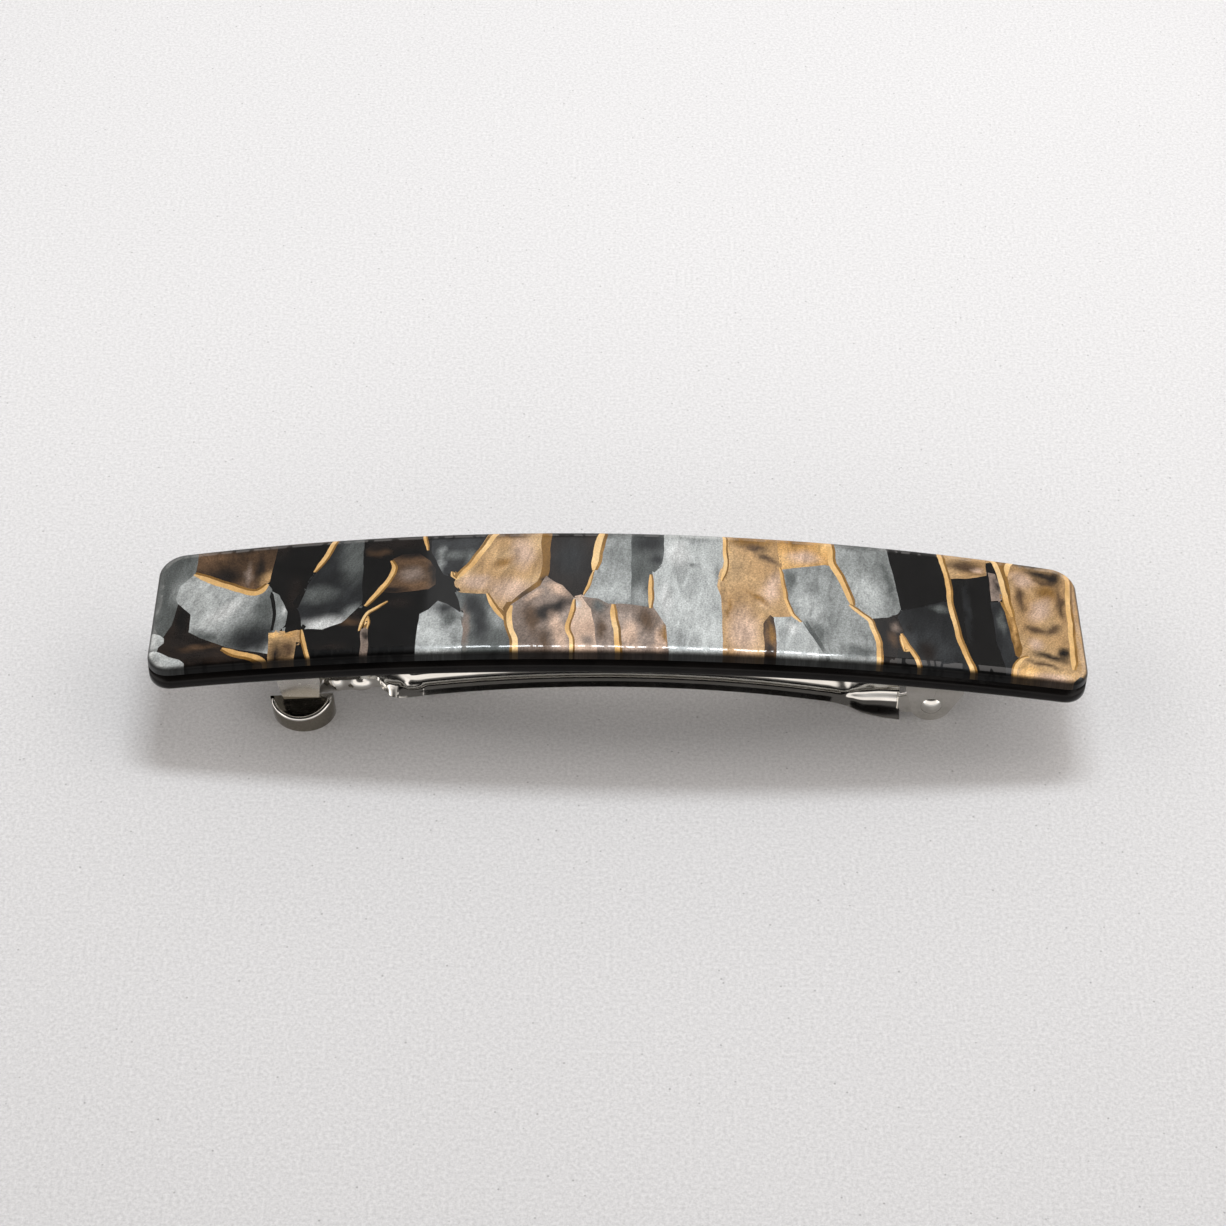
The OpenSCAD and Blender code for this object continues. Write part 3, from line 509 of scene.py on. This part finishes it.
# ---- meshes of the plate's two sheets ----
def sheet_mesh(name, top_r, low_r, low_round, chips):
    """A closed sheet of the plate between two radii, with rounded edges and exact normals.
    With chips, every edge of the pattern is an edge of the mesh, so that each corner can hold one chip's
    colours."""
    verts, edges = [], []
    grid = 0.4

    def ring(points):
        n = len(verts)
        verts.extend(points)
        edges.extend((n + i, n + (i + 1) % len(points)) for i in range(len(points)))

    for d in edge_depths() if chips else [0.0]:
        ring([p - n * d for p, n in RIM])
    if chips:
        for s in SHAPES:
            ring(s[0])
        x = -HALF_L + 1
        while x < HALF_L - 1:
            y = -HALF_W + 1
            while y < HALF_W - 1:
                p = Vector((x + 0.1 * wave(x, y, 0.5, 60), y + 0.1 * wave(x, y, 0.5, 70)))
                if depth(p.x, p.y)[0] > EDGE_IN + 0.15:
                    verts.append(p)
                y += grid
            x += grid
    points, _, faces, _, _, _ = delaunay_2d_cdt(verts, edges, [], 1, 1e-5)
    mesh_verts, normals, lookup = [], [], {}

    def top_vertex(i):
        p = points[i]
        d, out = depth(p.x, p.y)
        drop, share = edge(max(0.0, d)) if chips else (0.0, 0.0)
        if 0 < share < 0.6:
            share += 0.035 * wave(p.x, p.y, 1.9, 33) * min(1.0, share * 6)
        return on_arch(p.x, p.y, top_r - drop), arch_normal(p.x, out, share, top_r)

    made = []
    for f in faces:
        c = sum((points[i] for i in f), Vector((0, 0))) / len(f)
        if depth(c.x, c.y)[0] < 0:
            continue
        for i in f:
            if i not in lookup:
                lookup[i] = len(mesh_verts)
                v, n = top_vertex(i)
                mesh_verts.append(v)
                normals.append(n)
        made.append([lookup[i] for i in f])
    plan = {lookup[i]: points[i] for i in lookup}
    top_count = len(made)
    border = border_loop(made)
    # the side wall, then its rounded lower edge
    rows = [border]
    wall = [(0.0, low_r + low_round, 0.0)]
    for a in (18, 36, 54, 72, 90) if low_round else ():
        cos, sin = math.cos(math.radians(a)), math.sin(math.radians(a))
        wall.append((low_round * (1 - cos), low_r + low_round * (1 - sin), -sin))
    for inset, radius, lean in wall:
        row = []
        for i in border:
            p = plan[i]
            _, out = depth(p.x, p.y)
            q = p - out * inset
            row.append(len(mesh_verts))
            mesh_verts.append(on_arch(q.x, q.y, radius))
            up = Vector((p.x / radius, 0, 1)).normalized()
            side = arch_normal(p.x, out, 1.0, radius)
            normals.append((side * math.sqrt(1 - lean * lean) + up * lean).normalized())
            plan[row[-1]] = p
        rows.append(row)
    n = len(border)
    for upper, lower in zip(rows, rows[1:]):
        made += [[upper[i], lower[i], lower[(i + 1) % n], upper[(i + 1) % n]] for i in range(n)]
    # the underside follows the arch, because its border has a point at least every 1 mm on both sides
    last = rows[-1]
    low_plan = [Vector((mesh_verts[i].x, mesh_verts[i].y)) for i in last]
    loop = [(i, (i + 1) % n) for i in range(n)]
    _, _, cap, origin, _, _ = delaunay_2d_cdt(low_plan, loop, [], 1, 1e-6)
    index = {k: last[o[0]] for k, o in enumerate(origin) if o}
    base = len(made)
    for f in cap:
        made.append([index[k] for k in f][::-1])
    mesh = bpy.data.meshes.new(name)
    mesh.from_pydata([v * MM for v in mesh_verts], [], made)
    mesh.update()
    corner_normals = []
    for poly in mesh.polygons:
        poly.use_smooth = True
        for i in poly.vertices:
            if poly.index >= base:
                x = mesh_verts[i].x
                corner_normals.append(-Vector((x / low_r, 0, 1)).normalized())
            else:
                corner_normals.append(normals[i])
    mesh.normals_split_custom_set(corner_normals)
    return mesh, plan, top_count, base


def border_loop(faces):
    """The single open edge loop of a set of faces, in face order."""
    used = {pair for f in faces for pair in zip(f, f[1:] + f[:1])}
    following = {a: b for a, b in used if (b, a) not in used}
    start = min(following)
    loop, at = [start], following[start]
    while at != start:
        loop.append(at)
        at = following[at]
    return loop


def paint(mesh, plan, top_count, base):
    """Writes the pattern at every corner: colour, grain coordinates, streak strength and the edge's lean."""
    plan_top = {i for poly in mesh.polygons[:top_count] for i in poly.vertices}
    colours, grains, streaks, rims = [], [], [], []
    for poly in mesh.polygons:
        spots = [plan.get(i) or Vector((mesh.vertices[i].co.x / MM, mesh.vertices[i].co.y / MM))
                 for i in poly.vertices]
        c = sum(spots, Vector((0, 0))) / len(spots)
        if poly.index >= top_count:
            c = c - depth(c.x, c.y)[1] * 0.05
        shape = GROUND if poly.index >= base else shape_at(c.x, c.y)
        for p, i in zip(spots, poly.vertices):
            a, b, s = pearl(shape, p.x, p.y)
            low = poly.index >= top_count and (i not in plan_top)
            lean = 1.0 if low else edge(max(0.0, depth(p.x, p.y)[0]))[1]
            # painted shade: colours darken over the rounded edge and are nearly black on the side wall,
            # partly because the pearl flakes there are seen edge-on
            dim = 1 - 0.95 * step(lean, 0.3, 0.9)
            a = [v * dim for v in a[:3]] + [1.0]
            colours += a
            grains += b
            streaks.append(s)
            rims.append(lean * (1.8 if p.y > 0 else 1.0))
    for name, kind, field, values in (("pearl_colour", "FLOAT_COLOR", "color", colours),
                                      ("pearl_grain", "FLOAT_VECTOR", "vector", grains),
                                      ("pearl_streak", "FLOAT", "value", streaks),
                                      ("pearl_rim", "FLOAT", "value", rims)):
        mesh.attributes.new(name, kind, "CORNER").data.foreach_set(field, values)


# ---- materials ----
class Graph:
    """A few calls to build a material's node tree."""

    def __init__(self, name):
        self.mat = bpy.data.materials.new(name)
        self.mat.use_nodes = True
        self.tree = self.mat.node_tree
        self.shader = self.tree.nodes["Principled BSDF"]

    def plug(self, socket, value):
        """Links another node's output to a socket, or sets the socket to a constant."""
        if isinstance(value, bpy.types.NodeSocket):
            self.tree.links.new(value, socket)
        else:
            socket.default_value = value

    def node(self, kind, **inputs):
        n = self.tree.nodes.new("ShaderNode" + kind)
        for key, value in inputs.items():
            self.plug(n.inputs[key.replace("_", " ")], value)
        return n

    def math(self, op, a, b=0.0):
        n = self.tree.nodes.new("ShaderNodeMath")
        n.operation = op
        for socket, value in zip(n.inputs, (a, b)):
            self.plug(socket, value)
        return n.outputs[0]

    def ramp(self, factor, *stops):
        n = self.tree.nodes.new("ShaderNodeValToRGB")
        ends = n.color_ramp.elements
        while len(ends) < len(stops):
            ends.new(0.5)
        for e, (at, colour) in zip(ends, stops):
            e.position = at
            e.color = colour if len(colour) == 4 else (*colour, 1)
        self.tree.links.new(factor, n.inputs[0])
        return n.outputs[0]

    def mix(self, kind, factor, a, b):
        n = self.tree.nodes.new("ShaderNodeMix")
        n.data_type = "RGBA"
        n.blend_type = kind
        for socket, value in zip((n.inputs[0], n.inputs[6], n.inputs[7]), (factor, a, b)):
            self.plug(socket, value)
        return n.outputs[2]

    def scaled(self, vector, scale):
        """A vector with each of its parts scaled."""
        return self.node("Mapping", Vector=vector, Scale=scale).outputs[0]

    def place(self):
        """The object's own coordinates, in metres."""
        return self.node("TexCoord").outputs["Object"]

    def noise(self, scale, vector=None, **inputs):
        """Noise with three scales over the object's own coordinates, or over another vector."""
        at = self.scaled(vector or self.place(), scale)
        return self.node("TexNoise", Vector=at, Scale=1.0, **inputs).outputs[0]

    def dots(self, scale):
        """Distance to the nearest of evenly spread points."""
        at = self.scaled(self.place(), (scale, scale, scale))
        return self.node("TexVoronoi", Vector=at, Scale=1.0).outputs["Distance"]

    def attribute(self, name):
        """The outputs of one of the values painted on the mesh."""
        n = self.node("Attribute")
        n.attribute_name = name
        return n.outputs

    def set(self, **inputs):
        """Sets the surface's own sockets and gives back the material."""
        for key, value in inputs.items():
            self.plug(self.shader.inputs[key.replace("_", " ")], value)
        return self.mat


def grey(v):
    """An even grey."""
    return (v, v, v, 1)


def pearl_acetate():
    """Pearly chips cast in clear acetate: silky streaks along each chip's grain under a polished face."""
    g = Graph("pearl_acetate")
    base = g.attribute("pearl_colour")["Color"]
    grain = g.attribute("pearl_grain")["Vector"]
    streak = g.attribute("pearl_streak")["Fac"]
    rim = g.attribute("pearl_rim")["Fac"]
    soft = g.noise((0.3, 0.9, 1.0), grain, Detail=3.0, Roughness=0.6, Distortion=0.8)
    fine = g.noise((3.0, 8.0, 1.0), grain, Detail=3.0, Roughness=0.7, Distortion=0.2)
    speck = g.noise((5.0, 5.0, 5.0), grain, Detail=3.0, Roughness=0.75)
    both = g.math("ADD", g.math("MULTIPLY", soft, 0.62), g.math("MULTIPLY", fine, 0.38))
    shade = g.ramp(both, (0.34, grey(0.62)), (0.5, grey(1.0)), (0.66, grey(1.35)))
    shade = g.mix("MULTIPLY", 1.0, shade, g.ramp(speck, (0.36, grey(0.68)), (0.64, grey(1.34))))
    colour = g.mix("MULTIPLY", streak, base, shade)
    bump = g.node("Bump", Strength=0.12, Distance=0.00004, Height=fine)
    wavy = g.noise((330, 330, 330), Detail=1.0)
    polish = g.node("Bump", Strength=0.05, Distance=0.00005, Height=wavy)
    rough = g.ramp(soft, (0.3, grey(0.34)), (0.7, grey(0.46)))
    # the polish has small nicks along the edge and ends at the side wall
    nick = g.noise((420, 150, 150), Detail=2.0, Roughness=0.6)
    near = g.math("ABSOLUTE", g.math("SUBTRACT", nick, 0.5))
    nicked = g.math("MULTIPLY", g.math("LESS_THAN", near, 0.04), g.math("GREATER_THAN", rim, 0.03))
    coat = g.math("MULTIPLY", g.math("SUBTRACT", 1.0, g.math("MULTIPLY", nicked, 0.95)),
                  g.ramp(rim, (0.26, grey(1.0)), (0.6, grey(0.1))))
    return g.set(Base_Color=colour, Metallic=0.25, Roughness=rough, Normal=bump.outputs[0],
                 Specular_IOR_Level=0.1, Coat_Weight=coat, Coat_Roughness=0.045, Coat_IOR=1.5,
                 Coat_Normal=polish.outputs[0])


def black_acetate():
    """Polished black acetate with faint clouds."""
    g = Graph("black_acetate")
    cloud = g.noise((140, 220, 140), Detail=4.0, Roughness=0.6)
    fine = g.noise((1500, 1500, 1500), Detail=2.0)
    colour = g.ramp(cloud, (0.35, srgb("#080707")), (0.65, srgb("#131110")))
    rough = g.ramp(fine, (0.35, grey(0.13)), (0.7, grey(0.22)))
    bump = g.node("Bump", Strength=0.05, Distance=0.00003, Height=fine)
    return g.set(Base_Color=colour, Roughness=rough, Normal=bump.outputs[0], Specular_IOR_Level=0.12)


def metal(name, light, dark, rough_low, rough_high, grain=(60, 900, 900), polished_and_shaded_below=None):
    """Plated metal with faint rolling lines, dull patches and small pits, polished low down and given painted
    shade there as a darker colour.
    """
    g = Graph(name)
    patch = g.noise((220, 260, 260), Detail=4.0, Roughness=0.6)
    lines = g.noise(grain, Detail=3.0, Roughness=0.6)
    pits = g.dots(700)
    both = g.math("ADD", g.math("MULTIPLY", patch, 0.6), g.math("MULTIPLY", lines, 0.4))
    colour = g.ramp(both, (0.3, srgb(dark)), (0.62, srgb(light)))
    rough = g.ramp(both, (0.35, grey(rough_low)), (0.7, grey(rough_high)))
    if polished_and_shaded_below is not None:
        level = g.node("SeparateXYZ", Vector=g.place()).outputs[2]
        polished = g.math("LESS_THAN", level, polished_and_shaded_below * MM)
        rough = g.mix("MIX", polished, rough, grey(0.07))
        # painted shade: below that height the colour is also made darker, as the low part of the leaves and
        # tabs would look in shade
        colour = g.mix("MIX", polished, colour, srgb("#8f8a80"))
    height = g.math("ADD", lines, g.math("MULTIPLY", g.math("LESS_THAN", pits, 0.06), -0.5))
    bump = g.node("Bump", Strength=0.06, Distance=0.00002, Height=height)
    return g.set(Base_Color=colour, Metallic=1.0, Roughness=rough, Normal=bump.outputs[0])


PEARL = pearl_acetate()
BLACK = black_acetate()
NICKEL = metal("nickel_sheet", "#e4e2dd", "#c2bfb8", 0.06, 0.16)
PIN = metal("nickel_pin", "#e9e7e2", "#cbc8c2", 0.05, 0.12, (500, 500, 500))
SATIN = metal("nickel_satin", "#e6e4e0", "#cfccc6", 0.22, 0.32, polished_and_shaded_below=2.7)
STEEL = metal("spring_steel", "#b4b2ae", "#8c8a86", 0.14, 0.28)

# ---- the plate ----
mesh, plan, top_count, base = sheet_mesh("pattern_sheet_mesh", ARCH_R, FACE_R, 0.0, True)
paint(mesh, plan, top_count, base)
mesh.materials.append(PEARL)
make_object("pearl_sheet", mesh, "base", "pearl_acetate", "pattern_sheet")

mesh = sheet_mesh("backing_sheet_mesh", FACE_R, UNDER_R, LOW_ROUND, False)[0]
mesh.materials.append(BLACK)
make_object("black_sheet", mesh, "base", "black_acetate", "backing_sheet")


# ---- the metal clip ----
def softened(node, material, width):
    """Keeps a CAD node, with its sharp edges slightly rounded."""
    obj = NODES[node]
    obj.data.materials.clear()
    obj.data.materials.append(material)
    weld = obj.modifiers.new("weld", "WELD")
    weld.merge_threshold = 0.000002
    bevel = obj.modifiers.new("bevel", "BEVEL")
    bevel.width = width * MM
    bevel.segments = 3
    bevel.limit_method = "ANGLE"
    bevel.angle_limit = math.radians(35)
    bevel.harden_normals = True


for node, material, width in [
        ("base_plate", NICKEL, 0.07), ("latch_leaf_front", SATIN, 0.14), ("latch_leaf_back", SATIN, 0.14),
        ("hinge_pin", PIN, 0.05), ("tension_bar", STEEL, 0.06), ("mounting_pins", PIN, 0.05)]:
    softened(node, material, width)


# The clasp arm: the arch of its top, the end of its latch head, its thickness, and its ears at the hinge
ARM_R, ARM_MID_X, ARM_MID_Z = 139.2, 1.2, -135.4
HEAD_END_X, ARM_T = -25.5, 0.45
HINGE, PIN_HOLE_R, EAR_IN, EAR_OUT = (34.8, 2.25), 0.7, 3.2, 3.7
# The latch leaves and their tabs: place, lean, height, slope of the tab and the rolled rim's thickness
LATCH_X, LATCH_LEAN, LEAF_H, TAB_SLOPE = -35.4, math.radians(5), 7.2, math.radians(14)
TAB_R, TAB_INSET, FOLD_Y, RIM_R, RIM_UP = 3.27, 0.3, 4.35, 0.26, 0.4


def arm_stations():
    """Sections of the arm along x. Each is half of its upper face, from the middle to the flange's end, as
    x, (height of the middle), (edge of the groove), (bend), (middle of the flange), (end of the flange)."""
    head = [
        (-33.3, 1.62, (1.2, 1.62), (2.3, 1.63), (2.8, 1.68), (3.0, 1.8)),
        (-32.9, 1.66, (1.2, 1.67), (2.3, 1.69), (2.84, 1.9), (2.98, 2.7)),
        (-32.2, 1.78, (1.2, 1.78), (2.3, 1.8), (2.86, 2.25), (2.97, 3.75)),
        (-30, 2.12, (1.2, 2.12), (2.3, 2.14), (2.86, 2.6), (2.97, 4.0)),
        (-27.4, 2.55, (1.2, 2.55), (2.3, 2.57), (2.86, 3.0), (2.97, 4.25)),
        (-26.4, 2.7, (1.2, 2.7), (2.3, 2.72), (2.86, 3.1), (3.0, 4.1)),
        (-25.9, 2.7, (1.2, 2.7), (2.3, 2.68), (2.8, 2.75), (3.1, 2.95)),
        (-25.3, 2.6, (1.3, 2.6), (2.2, 2.5), (2.75, 2.0), (3.2, 1.6)),
        (-24.5, 2.3, (1.4, 2.32), (2.1, 2.16), (2.7, 1.6), (3.2, 1.12)),
        (-23.6, 1.88, (1.5, 2.02), (1.95, 1.9), (2.45, 1.42), (2.95, 0.94)),
    ]
    channel = []
    for i in range(32):
        x = -22.8 + 1.5 * i
        top = ARM_MID_Z + math.sqrt(ARM_R * ARM_R - (x - ARM_MID_X) ** 2)
        channel.append((x, top - 0.22, (1.05, top - 0.01), (1.85, top - 0.05), (2.34, top - 0.45),
                        (2.8, top - 0.82)))
    shoulder = [
        (25.2, 1.7, (1.6, 1.84), (2.0, 1.72), (2.4, 1.35), (2.9, 0.8)),
        (26.2, 2.15, (1.6, 2.2), (2.2, 2.0), (2.5, 1.45), (3.35, 0.78)),
        (27.4, 2.62, (1.6, 2.64), (2.4, 2.42), (2.85, 1.5), (3.95, 0.65)),
        (29.2, 2.87, (1.7, 2.9), (2.5, 2.68), (3.0, 1.6), (4.42, 0.53)),
        (31.4, 2.95, (1.8, 2.98), (2.65, 2.75), (3.15, 1.62), (4.7, 0.42)),
    ]
    return head + channel + shoulder


def loft(name, rings):
    """A closed solid through rings of points, in mm."""
    bm = bmesh.new()
    rows = [[bm.verts.new(p * MM) for p in ring] for ring in rings]
    n = len(rings[0])
    for a, b in zip(rows, rows[1:]):
        for i in range(n):
            bm.faces.new((a[i], a[(i + 1) % n], b[(i + 1) % n], b[i]))
    for row in (rows[0][::-1], rows[-1]):
        bm.faces.new(row)
    bmesh.ops.recalc_face_normals(bm, faces=bm.faces)
    mesh = bpy.data.meshes.new(name)
    bm.to_mesh(mesh)
    bm.free()
    return mesh


# Pressed beads on the arm's sides near the latch: middle (x, z), radii along x and z, and height
BEADS = [(-30.9, 3.0, 0.9, 1.0, 0.4), (-28.3, 3.15, 1.35, 1.0, 0.55), (-22.8, 1.4, 1.5, 1.2, 0.4)]


def beads(x, z):
    """Height of the pressed beads on the arm's latch end, at a point seen from the side."""
    best = 0.0
    for cx, cz, rx, rz, high in BEADS:
        t = ((x - cx) / rx) ** 2 + ((z - cz) / rz) ** 2
        if t < 1:
            best = max(best, high * (1 - t) ** 0.8)
    return best


def clasp_arm_sheet():
    """The arm from its latch end to its shoulder: one pressed sheet 0.45 thick."""
    stations = arm_stations()
    controls = [[Vector((s[0], 0, s[1]))] + [Vector((s[0], *p)) for p in s[2:]] for s in stations]
    rails = [smooth_curve([c[k] for c in controls], lambda a, b: 9) for k in range(len(controls[0]))]
    rings = []
    for points in zip(*rails):
        half = smooth_curve(list(points), lambda a, b: 7)
        upper = [Vector((p.x, -p.y, p.z)) for p in half[:0:-1]] + half
        count = len(upper)
        lower = []
        for i, p in enumerate(upper):
            a, b = upper[max(0, i - 1)], upper[min(count - 1, i + 1)]
            n = Vector((0, a.z - b.z, b.y - a.y)).normalized()
            q = p - n * ARM_T
            out = 1 if p.y > 0 else -1
            if p.x < HEAD_END_X and abs(p.y) > 2.6:
                q.y += out * beads(q.x, q.z) * min(1.0, (abs(p.y) - 2.6) / 0.25)
            lower.append(q)
        if HEAD_END_X < points[0].x < -20:
            upper = [p + Vector((0, math.copysign(0.8, p.y), 0.6)) * beads(p.x, p.z)
                     * step(abs(p.y), 1.6, 2.2) for p in upper]
        rings.append(upper + lower[::-1])
    return loft("clasp_arm_mesh", rings)


def ear_plate(bm, outline_at, y0, y1, hole, centre):
    """A flat ear between two values of y, round a pin hole; outline_at gives its reach at an angle."""
    cx, cz = centre
    steps = 64
    chamfer = 0.07
    rings = []
    for radius, y, share in ((hole, y0, 0), (1, y0, -chamfer), (1, y0 + chamfer, 0), (1, y1 - chamfer, 0),
                             (1, y1, -chamfer), (hole, y1, 0)):
        ring = []
        for i in range(steps):
            a = 2 * math.pi * i / steps
            r = hole if radius == hole else outline_at(a) + share
            ring.append(bm.verts.new(Vector((cx + r * math.cos(a), y, cz + r * math.sin(a))) * MM))
        rings.append(ring)
    made = []
    for a, b in zip(rings, rings[1:] + rings[:1]):
        for i in range(steps):
            made.append(bm.faces.new((a[i], a[(i + 1) % steps], b[(i + 1) % steps], b[i])))
    bmesh.ops.recalc_face_normals(bm, faces=made)


def reach(corners, radius):
    """How far a round foot joined with a polygon reaches from its centre, as a function of the angle."""
    def at(angle):
        d = Vector((math.cos(angle), math.sin(angle)))
        best = radius
        for p, q in zip(corners, corners[1:] + corners[:1]):
            ex, ez = q[0] - p[0], q[1] - p[1]
            det = d.x * ez - d.y * ex
            if abs(det) > 1e-9:
                t = (p[0] * ez - p[1] * ex) / det
                u = (p[0] * d.y - p[1] * d.x) / det
                if t > 0 and -1e-6 <= u <= 1 + 1e-6:
                    best = max(best, t)
        return best
    return at


def finish_metal(mesh, material):
    """Gives a mesh its metal and smooth faces with crisp bends."""
    mesh.materials.append(material)
    for poly in mesh.polygons:
        poly.use_smooth = True
    mesh.set_sharp_from_angle(angle=math.radians(38))


mesh = clasp_arm_sheet()
bm = bmesh.new()
bm.from_mesh(mesh)
outline_at = reach([(-3.7, -1.6), (0, -1.7), (0, 1.75), (-3.7, 0.75)], 1.8)
for low, high in ((-EAR_OUT, -EAR_IN), (EAR_IN, EAR_OUT)):
    ear_plate(bm, outline_at, low, high, PIN_HOLE_R, HINGE)
bm.to_mesh(mesh)
bm.free()
finish_metal(mesh, NICKEL)
make_object("clasp_arm_sheet", mesh, "arm", "nickel_sheet", "clasp_arm")


def rolled_rim(side):
    """The rolled edge round a finger tab, as a closed bead along its arc."""
    root = on_arch(LATCH_X, 0, UNDER_R)
    turn = Matrix.Rotation(-LATCH_LEAN, 3, "Y")
    count, sides = 48, 14
    rings = []
    for i in range(count + 1):
        a = math.radians(187 + 166 * i / count)
        radius = RIM_R * min(1.0, 0.25 + min(i, count - i) / 5)
        out = Vector((math.cos(a), math.sin(a), 0))
        y = TAB_INSET + TAB_R * out.y
        middle = Vector((TAB_R * out.x, y - FOLD_Y, y * math.tan(TAB_SLOPE) + RIM_UP - LEAF_H))
        ring = []
        for k in range(sides):
            t = 2 * math.pi * k / sides
            p = turn @ (middle + (out * math.cos(t) + Vector((0, 0, 1)) * math.sin(t)) * radius)
            ring.append(root + Vector((p.x, side * -p.y, p.z)))
        rings.append(ring)
    mesh = loft("rolled_rim_mesh", rings)
    finish_metal(mesh, NICKEL)
    return mesh


make_object("tab_rim_front", rolled_rim(-1), "front_leaf", "nickel_sheet")
make_object("tab_rim_back", rolled_rim(1), "back_leaf", "nickel_sheet")


# ---- floor ----
def floor():
    """A wide pale table top with a fine grain, a few specks of dust and painted shade towards the viewer."""
    mesh = bpy.data.meshes.new("floor_mesh")
    bm = bmesh.new()
    bmesh.ops.create_grid(bm, x_segments=40, y_segments=40, size=6.0)
    bm.to_mesh(mesh)
    bm.free()
    g = Graph("table_top")
    fine = g.noise((2600, 2600, 2600), Detail=4.0, Roughness=0.8)
    broad = g.noise((9, 9, 9), Detail=2.0)
    dust = g.dots(480)
    tone = g.ramp(fine, (0.34, srgb("#cfcfd0")), (0.64, srgb("#ececed")))
    tone = g.mix("MULTIPLY", 1.0, tone, g.ramp(broad, (0.3, grey(0.97)), (0.7, grey(1.0))))
    tone = g.mix("MULTIPLY", 1.0, tone, g.ramp(dust, (0.035, grey(0.6)), (0.07, grey(1.0))))
    # painted shade: the table top darkens a little towards the viewer, as if less light fell there
    away = g.node("SeparateXYZ", Vector=g.place()).outputs[1]
    near = g.math("ADD", g.math("MULTIPLY", away, 6.0), 0.6)
    tone = g.mix("MULTIPLY", 1.0, tone, g.ramp(near, (0.0, grey(0.86)), (0.5, grey(0.95)), (1.0, grey(1.0))))
    bump = g.node("Bump", Strength=0.25, Distance=0.00006, Height=fine)
    mesh.materials.append(g.set(Base_Color=tone, Roughness=0.75, Normal=bump.outputs[0]))
    obj = bpy.data.objects.new("table_top", mesh)
    bpy.context.scene.collection.objects.link(obj)


floor()


# ---- camera ----
def camera():
    """The photo's view: 44 degrees above the table, from the front, turned and rolled a little."""
    elevation, yaw, roll = math.radians(44), math.radians(-1.25), math.radians(1.78)
    distance = 0.34
    level = math.cos(elevation)
    back = Vector((math.sin(yaw) * level, -math.cos(yaw) * level, math.sin(elevation)))
    side = (-back).cross(Vector((0, 0, 1))).normalized()
    up = side.cross(-back)
    side, up = side * math.cos(roll) + up * math.sin(roll), up * math.cos(roll) - side * math.sin(roll)
    data = bpy.data.cameras.new("camera")
    data.sensor_width = 36
    data.lens = 92.5
    data.clip_start, data.clip_end = 0.01, 20
    obj = bpy.data.objects.new("camera", data)
    bpy.context.scene.collection.objects.link(obj)
    target = Vector((-0.73, -3.65, 15.15)) * MM
    turn = Matrix((side, up, back)).transposed()
    obj.matrix_world = Matrix.Translation(target + back * distance) @ turn.to_4x4()
    bpy.context.scene.camera = obj


camera()


# ---- light ----
def softbox(name, azimuth, elevation, distance, width, height, power, colour=(1, 1, 1)):
    """An area light behind the object at an azimuth from +Y, facing the plate."""
    a, e = math.radians(azimuth), math.radians(elevation)
    away = Vector((math.sin(a) * math.cos(e), math.cos(a) * math.cos(e), math.sin(e)))
    data = bpy.data.lights.new(name, "AREA")
    data.shape = "RECTANGLE"
    data.size, data.size_y = width, height
    data.energy = power
    data.color = colour
    obj = bpy.data.objects.new(name, data)
    bpy.context.scene.collection.objects.link(obj)
    obj.rotation_mode = "QUATERNION"
    obj.rotation_quaternion = away.to_track_quat("Z", "Y")
    obj.location = Vector((0, 0, 0.012)) + away * distance
    obj.visible_camera = False
    return obj


softbox("key", 6, 66, 0.55, 0.24, 0.096, 1.3, (0.915, 0.96, 1.0))
softbox("card", 5, 47.5, 1.3, 0.58, 0.26, 0.2)
softbox("fill", 55, 60, 0.5, 0.3, 0.3, 0.46, (1.0, 0.94, 0.9))


def studio():
    """A pale, slightly warm room: white low down all round and at both sides, dim overhead."""
    world = bpy.data.worlds.new("studio")
    bpy.context.scene.world = world
    world.use_nodes = True
    tree = world.node_tree
    split = tree.nodes.new("ShaderNodeSeparateXYZ")
    tree.links.new(tree.nodes.new("ShaderNodeTexCoord").outputs["Generated"], split.inputs[0])

    def band(value, low, high, bottom, top):
        n = tree.nodes.new("ShaderNodeMapRange")
        n.interpolation_type = "SMOOTHSTEP"
        tree.links.new(value, n.inputs[0])
        for socket, number in zip(n.inputs[1:5], (low, high, bottom, top)):
            socket.default_value = number
        return n.outputs[0]

    def join(op, a, b):
        n = tree.nodes.new("ShaderNodeMath")
        n.operation = op
        tree.links.new(a, n.inputs[0])
        if isinstance(b, bpy.types.NodeSocket):
            tree.links.new(b, n.inputs[1])
        else:
            n.inputs[1].default_value = b
        return n.outputs[0]

    low = band(split.outputs[2], 0.42, 0.56, 1.3, 0.09)
    sides = band(join("ABSOLUTE", split.outputs[0], 0.0), 0.5, 0.8, 0.0, 2.0)
    path = tree.nodes.new("ShaderNodeLightPath")
    mix = tree.nodes.new("ShaderNodeMix")
    mix.data_type = "RGBA"
    mix.inputs[7].default_value = (0.86, 0.86, 0.87, 1)
    tree.links.new(path.outputs["Is Camera Ray"], mix.inputs[0])
    tint = tree.nodes.new("ShaderNodeVectorMath")
    tint.operation = "SCALE"
    tint.inputs[0].default_value = (1.0, 0.95, 0.915)
    tree.links.new(join("MAXIMUM", low, sides), tint.inputs["Scale"])
    tree.links.new(tint.outputs[0], mix.inputs[6])
    tree.links.new(mix.outputs[2], tree.nodes["Background"].inputs[0])


studio()
bpy.context.scene.view_settings.view_transform = "Standard"
bpy.context.scene.view_settings.look = "None"
